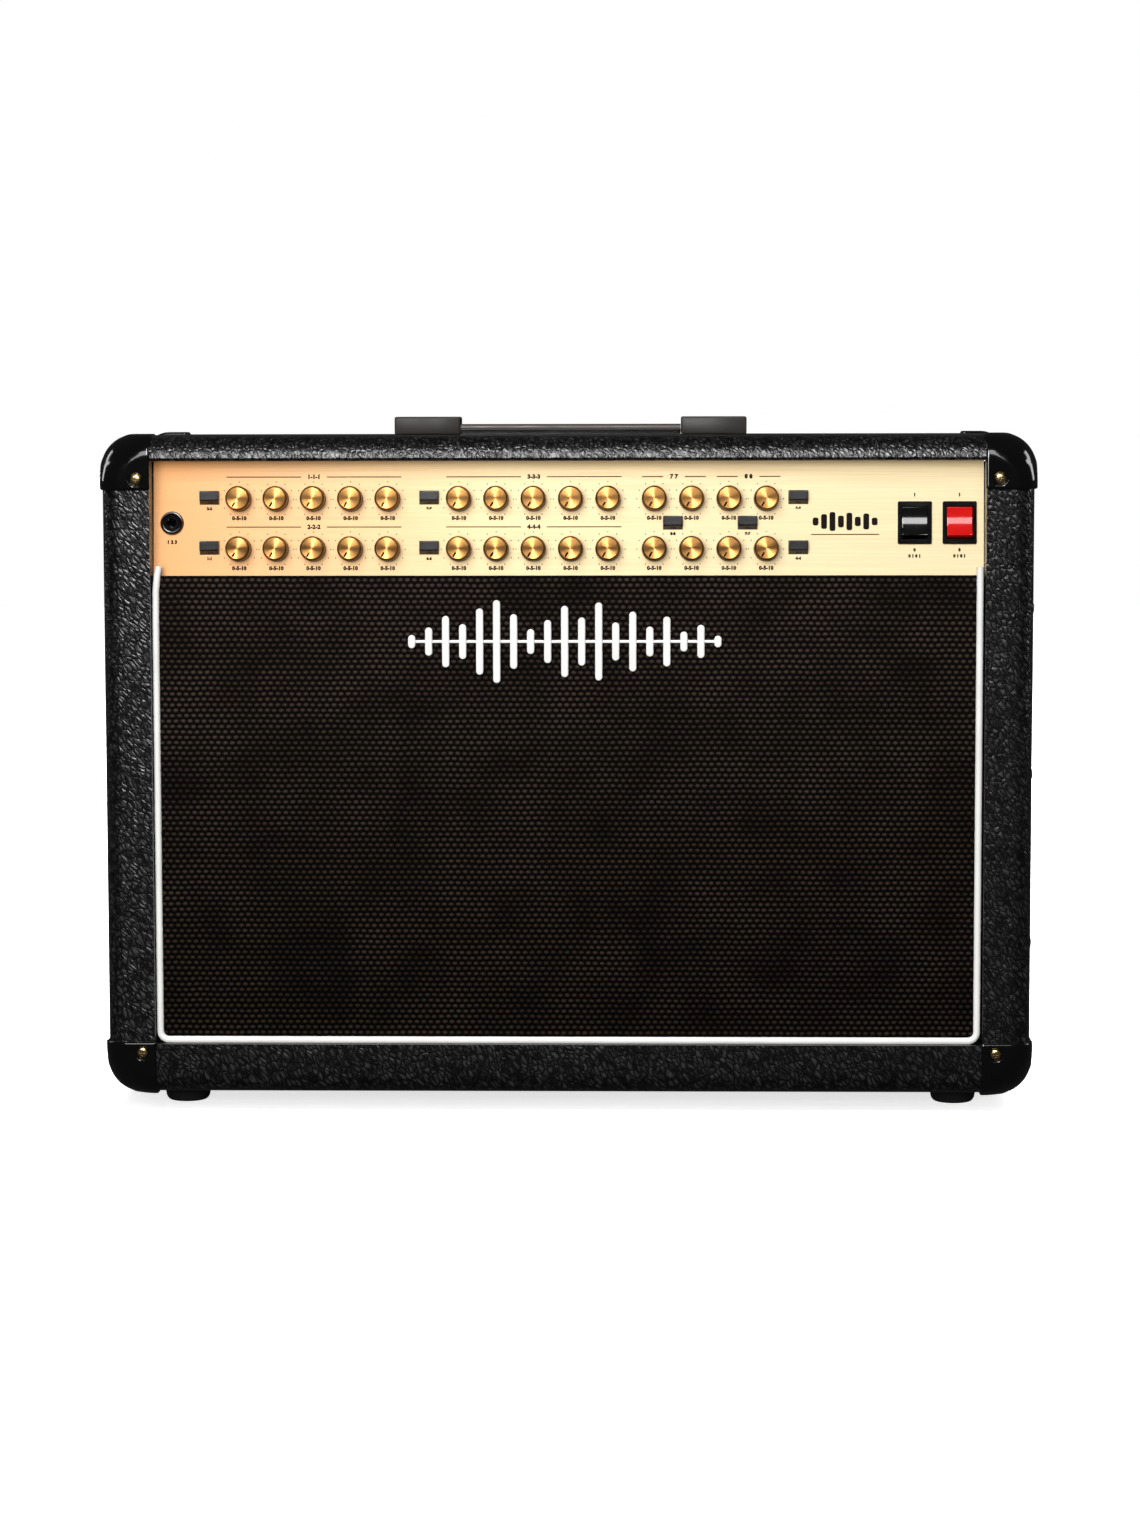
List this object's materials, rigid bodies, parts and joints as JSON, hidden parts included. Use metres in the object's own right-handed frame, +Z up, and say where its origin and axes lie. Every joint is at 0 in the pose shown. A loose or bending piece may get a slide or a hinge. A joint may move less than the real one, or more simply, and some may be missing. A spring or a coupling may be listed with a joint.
{
  "type": "guitar combo amplifier",
  "caption": "Two-speaker valve guitar combo amplifier in a black vinyl cabinet, with a gold control panel of turning knobs, push buttons and rocker switches.",
  "frame": {"origin": "on the floor under the middle of the cabinet, at the bottom of the feet", "axes": "+X to the right seen from the front, +Y to the back, +Z up; the control panel faces -Y"},
  "size_m": [0.6886, 0.2621, 0.5125],
  "materials": {
    "vinyl_cover": "satin",
    "corner_plastic": "gloss",
    "panel_gold": "satin",
    "knob_gold": "polished",
    "button_black": "satin",
    "rocker_black": "gloss",
    "rocker_red": "gloss",
    "circuit_board": "satin",
    "chassis_steel": "satin",
    "guard_steel": "satin",
    "transformer_steel": "satin",
    "valve_glass": "gloss",
    "grille_cloth": "matte",
    "plywood": "matte",
    "speaker_steel": "satin",
    "speaker_paper": "matte",
    "foot_rubber": "matte",
    "handle_plastic": "satin",
    "handle_strap": "satin",
    "white_trim": "satin",
    "panel_ink": "matte",
    "screw_brass": "polished",
    "screw_steel": "satin",
    "socket_black": "satin",
    "valve_base": "satin",
    "valve_metal": "satin"
  },
  "bodies": {
    "amplifier": {"cabinet_shell": "vinyl_cover", "baffle_board": "plywood", "grille_panel": "grille_cloth", "control_panel": "panel_gold", "control_board": "circuit_board", "chassis": "chassis_steel", "rear_panel_upper": "guard_steel", "rear_panel_lower": "vinyl_cover", "handle_cap_left": "handle_plastic", "handle_cap_right": "handle_plastic", "foot_front_left": "foot_rubber", "foot_front_right": "foot_rubber", "foot_rear_left": "foot_rubber", "foot_rear_right": "foot_rubber", "speaker_frame_left": "speaker_steel", "speaker_frame_right": "speaker_steel", "mains_transformer": "transformer_steel", "output_transformer": "transformer_steel", "power_valves": "valve_glass"},
    "handle_strap": {"handle_strap": "handle_strap"},
    "speaker_cone_left": {"speaker_cone_left": "speaker_paper"},
    "speaker_cone_right": {"speaker_cone_right": "speaker_paper"},
    "knob_crunch_gain": {"knob_crunch_gain": "knob_gold"},
    "knob_crunch_treble": {"knob_crunch_treble": "knob_gold"},
    "knob_crunch_middle": {"knob_crunch_middle": "knob_gold"},
    "knob_crunch_bass": {"knob_crunch_bass": "knob_gold"},
    "knob_crunch_volume": {"knob_crunch_volume": "knob_gold"},
    "knob_clean_gain": {"knob_clean_gain": "knob_gold"},
    "knob_clean_treble": {"knob_clean_treble": "knob_gold"},
    "knob_clean_middle": {"knob_clean_middle": "knob_gold"},
    "knob_clean_bass": {"knob_clean_bass": "knob_gold"},
    "knob_clean_volume": {"knob_clean_volume": "knob_gold"},
    "knob_lead1_gain": {"knob_lead1_gain": "knob_gold"},
    "knob_lead1_treble": {"knob_lead1_treble": "knob_gold"},
    "knob_lead1_middle": {"knob_lead1_middle": "knob_gold"},
    "knob_lead1_bass": {"knob_lead1_bass": "knob_gold"},
    "knob_lead1_volume": {"knob_lead1_volume": "knob_gold"},
    "knob_lead2_gain": {"knob_lead2_gain": "knob_gold"},
    "knob_lead2_treble": {"knob_lead2_treble": "knob_gold"},
    "knob_lead2_middle": {"knob_lead2_middle": "knob_gold"},
    "knob_lead2_bass": {"knob_lead2_bass": "knob_gold"},
    "knob_lead2_volume": {"knob_lead2_volume": "knob_gold"},
    "knob_reverb_1": {"knob_reverb_1": "knob_gold"},
    "knob_reverb_2": {"knob_reverb_2": "knob_gold"},
    "knob_presence": {"knob_presence": "knob_gold"},
    "knob_resonance": {"knob_resonance": "knob_gold"},
    "knob_reverb_3": {"knob_reverb_3": "knob_gold"},
    "knob_reverb_4": {"knob_reverb_4": "knob_gold"},
    "knob_master_1": {"knob_master_1": "knob_gold"},
    "knob_master_2": {"knob_master_2": "knob_gold"},
    "button_crunch_mode": {"button_crunch_mode": "button_black"},
    "button_clean_mode": {"button_clean_mode": "button_black"},
    "button_lead1_mode": {"button_lead1_mode": "button_black"},
    "button_lead2_mode": {"button_lead2_mode": "button_black"},
    "button_reverb": {"button_reverb": "button_black"},
    "button_master_select": {"button_master_select": "button_black"},
    "button_effects_loop": {"button_effects_loop": "button_black"},
    "button_footswitch": {"button_footswitch": "button_black"},
    "standby_rocker": {"standby_rocker": "rocker_black"},
    "power_rocker": {"power_rocker": "rocker_red"}
  },
  "joints": [
    {"name": "knob_crunch_gain_turn", "type": "hinge", "parent": "amplifier", "child": "knob_crunch_gain", "pos_m": [-0.2424, -0.1061, 0.45225], "axis": [0, 0.9962, -0.0872], "range_deg": [0, 300]},
    {"name": "knob_crunch_treble_turn", "type": "hinge", "parent": "amplifier", "child": "knob_crunch_treble", "pos_m": [-0.21496, -0.1061, 0.45225], "axis": [0, 0.9962, -0.0872], "range_deg": [0, 300]},
    {"name": "knob_crunch_middle_turn", "type": "hinge", "parent": "amplifier", "child": "knob_crunch_middle", "pos_m": [-0.18752, -0.1061, 0.45225], "axis": [0, 0.9962, -0.0872], "range_deg": [0, 300]},
    {"name": "knob_crunch_bass_turn", "type": "hinge", "parent": "amplifier", "child": "knob_crunch_bass", "pos_m": [-0.16008, -0.1061, 0.45225], "axis": [0, 0.9962, -0.0872], "range_deg": [0, 300]},
    {"name": "knob_crunch_volume_turn", "type": "hinge", "parent": "amplifier", "child": "knob_crunch_volume", "pos_m": [-0.13264, -0.1061, 0.45225], "axis": [0, 0.9962, -0.0872], "range_deg": [0, 300]},
    {"name": "knob_clean_gain_turn", "type": "hinge", "parent": "amplifier", "child": "knob_clean_gain", "pos_m": [-0.2424, -0.10931, 0.41549], "axis": [0, 0.9962, -0.0872], "range_deg": [0, 300]},
    {"name": "knob_clean_treble_turn", "type": "hinge", "parent": "amplifier", "child": "knob_clean_treble", "pos_m": [-0.21496, -0.10931, 0.41549], "axis": [0, 0.9962, -0.0872], "range_deg": [0, 300]},
    {"name": "knob_clean_middle_turn", "type": "hinge", "parent": "amplifier", "child": "knob_clean_middle", "pos_m": [-0.18752, -0.10931, 0.41549], "axis": [0, 0.9962, -0.0872], "range_deg": [0, 300]},
    {"name": "knob_clean_bass_turn", "type": "hinge", "parent": "amplifier", "child": "knob_clean_bass", "pos_m": [-0.16008, -0.10931, 0.41549], "axis": [0, 0.9962, -0.0872], "range_deg": [0, 300]},
    {"name": "knob_clean_volume_turn", "type": "hinge", "parent": "amplifier", "child": "knob_clean_volume", "pos_m": [-0.13264, -0.10931, 0.41549], "axis": [0, 0.9962, -0.0872], "range_deg": [0, 300]},
    {"name": "knob_lead1_gain_turn", "type": "hinge", "parent": "amplifier", "child": "knob_lead1_gain", "pos_m": [-0.0801, -0.1061, 0.45225], "axis": [0, 0.9962, -0.0872], "range_deg": [0, 300]},
    {"name": "knob_lead1_treble_turn", "type": "hinge", "parent": "amplifier", "child": "knob_lead1_treble", "pos_m": [-0.05266, -0.1061, 0.45225], "axis": [0, 0.9962, -0.0872], "range_deg": [0, 300]},
    {"name": "knob_lead1_middle_turn", "type": "hinge", "parent": "amplifier", "child": "knob_lead1_middle", "pos_m": [-0.02522, -0.1061, 0.45225], "axis": [0, 0.9962, -0.0872], "range_deg": [0, 300]},
    {"name": "knob_lead1_bass_turn", "type": "hinge", "parent": "amplifier", "child": "knob_lead1_bass", "pos_m": [0.00222, -0.1061, 0.45225], "axis": [0, 0.9962, -0.0872], "range_deg": [0, 300]},
    {"name": "knob_lead1_volume_turn", "type": "hinge", "parent": "amplifier", "child": "knob_lead1_volume", "pos_m": [0.02966, -0.1061, 0.45225], "axis": [0, 0.9962, -0.0872], "range_deg": [0, 300]},
    {"name": "knob_lead2_gain_turn", "type": "hinge", "parent": "amplifier", "child": "knob_lead2_gain", "pos_m": [-0.0801, -0.10931, 0.41549], "axis": [0, 0.9962, -0.0872], "range_deg": [0, 300]},
    {"name": "knob_lead2_treble_turn", "type": "hinge", "parent": "amplifier", "child": "knob_lead2_treble", "pos_m": [-0.05266, -0.10931, 0.41549], "axis": [0, 0.9962, -0.0872], "range_deg": [0, 300]},
    {"name": "knob_lead2_middle_turn", "type": "hinge", "parent": "amplifier", "child": "knob_lead2_middle", "pos_m": [-0.02522, -0.10931, 0.41549], "axis": [0, 0.9962, -0.0872], "range_deg": [0, 300]},
    {"name": "knob_lead2_bass_turn", "type": "hinge", "parent": "amplifier", "child": "knob_lead2_bass", "pos_m": [0.00222, -0.10931, 0.41549], "axis": [0, 0.9962, -0.0872], "range_deg": [0, 300]},
    {"name": "knob_lead2_volume_turn", "type": "hinge", "parent": "amplifier", "child": "knob_lead2_volume", "pos_m": [0.02966, -0.10931, 0.41549], "axis": [0, 0.9962, -0.0872], "range_deg": [0, 300]},
    {"name": "knob_reverb_1_turn", "type": "hinge", "parent": "amplifier", "child": "knob_reverb_1", "pos_m": [0.0638, -0.1061, 0.45225], "axis": [0, 0.9962, -0.0872], "range_deg": [0, 300]},
    {"name": "knob_reverb_2_turn", "type": "hinge", "parent": "amplifier", "child": "knob_reverb_2", "pos_m": [0.09124, -0.1061, 0.45225], "axis": [0, 0.9962, -0.0872], "range_deg": [0, 300]},
    {"name": "knob_presence_turn", "type": "hinge", "parent": "amplifier", "child": "knob_presence", "pos_m": [0.11868, -0.1061, 0.45225], "axis": [0, 0.9962, -0.0872], "range_deg": [0, 300]},
    {"name": "knob_resonance_turn", "type": "hinge", "parent": "amplifier", "child": "knob_resonance", "pos_m": [0.14612, -0.1061, 0.45225], "axis": [0, 0.9962, -0.0872], "range_deg": [0, 300]},
    {"name": "knob_reverb_3_turn", "type": "hinge", "parent": "amplifier", "child": "knob_reverb_3", "pos_m": [0.0638, -0.10931, 0.41549], "axis": [0, 0.9962, -0.0872], "range_deg": [0, 300]},
    {"name": "knob_reverb_4_turn", "type": "hinge", "parent": "amplifier", "child": "knob_reverb_4", "pos_m": [0.09124, -0.10931, 0.41549], "axis": [0, 0.9962, -0.0872], "range_deg": [0, 300]},
    {"name": "knob_master_1_turn", "type": "hinge", "parent": "amplifier", "child": "knob_master_1", "pos_m": [0.11868, -0.10931, 0.41549], "axis": [0, 0.9962, -0.0872], "range_deg": [0, 300]},
    {"name": "knob_master_2_turn", "type": "hinge", "parent": "amplifier", "child": "knob_master_2", "pos_m": [0.14612, -0.10931, 0.41549], "axis": [0, 0.9962, -0.0872], "range_deg": [0, 300]},
    {"name": "button_crunch_mode_press", "type": "slide", "parent": "amplifier", "child": "button_crunch_mode", "axis": [0, 0.9962, -0.0872], "range_m": [0, 0.0025], "stiffness_N_per_m": 300},
    {"name": "button_clean_mode_press", "type": "slide", "parent": "amplifier", "child": "button_clean_mode", "axis": [0, 0.9962, -0.0872], "range_m": [0, 0.0025], "stiffness_N_per_m": 300},
    {"name": "button_lead1_mode_press", "type": "slide", "parent": "amplifier", "child": "button_lead1_mode", "axis": [0, 0.9962, -0.0872], "range_m": [0, 0.0025], "stiffness_N_per_m": 300},
    {"name": "button_lead2_mode_press", "type": "slide", "parent": "amplifier", "child": "button_lead2_mode", "axis": [0, 0.9962, -0.0872], "range_m": [0, 0.0025], "stiffness_N_per_m": 300},
    {"name": "button_reverb_press", "type": "slide", "parent": "amplifier", "child": "button_reverb", "axis": [0, 0.9962, -0.0872], "range_m": [0, 0.0025], "stiffness_N_per_m": 300},
    {"name": "button_master_select_press", "type": "slide", "parent": "amplifier", "child": "button_master_select", "axis": [0, 0.9962, -0.0872], "range_m": [0, 0.0025], "stiffness_N_per_m": 300},
    {"name": "button_effects_loop_press", "type": "slide", "parent": "amplifier", "child": "button_effects_loop", "axis": [0, 0.9962, -0.0872], "range_m": [0, 0.0025], "stiffness_N_per_m": 300},
    {"name": "button_footswitch_press", "type": "slide", "parent": "amplifier", "child": "button_footswitch", "axis": [0, 0.9962, -0.0872], "range_m": [0, 0.0025], "stiffness_N_per_m": 300},
    {"name": "standby_rocker_tilt", "type": "hinge", "parent": "amplifier", "child": "standby_rocker", "pos_m": [0.2551, -0.10366, 0.43417], "axis": [1, 0, 0], "range_deg": [0, 16]},
    {"name": "power_rocker_tilt", "type": "hinge", "parent": "amplifier", "child": "power_rocker", "pos_m": [0.288, -0.10366, 0.43417], "axis": [1, 0, 0], "range_deg": [0, 16]},
    {"name": "handle_strap_lift", "type": "slide", "parent": "amplifier", "child": "handle_strap", "axis": [0, 0, 1], "range_m": [0, 0.0065]},
    {"name": "speaker_cone_left_travel", "type": "slide", "parent": "amplifier", "child": "speaker_cone_left", "axis": [0, 1, 0], "range_m": [-0.003, 0.003], "stiffness_N_per_m": 1500},
    {"name": "speaker_cone_right_travel", "type": "slide", "parent": "amplifier", "child": "speaker_cone_right", "axis": [0, 1, 0], "range_m": [-0.003, 0.003], "stiffness_N_per_m": 1500}
  ]
}
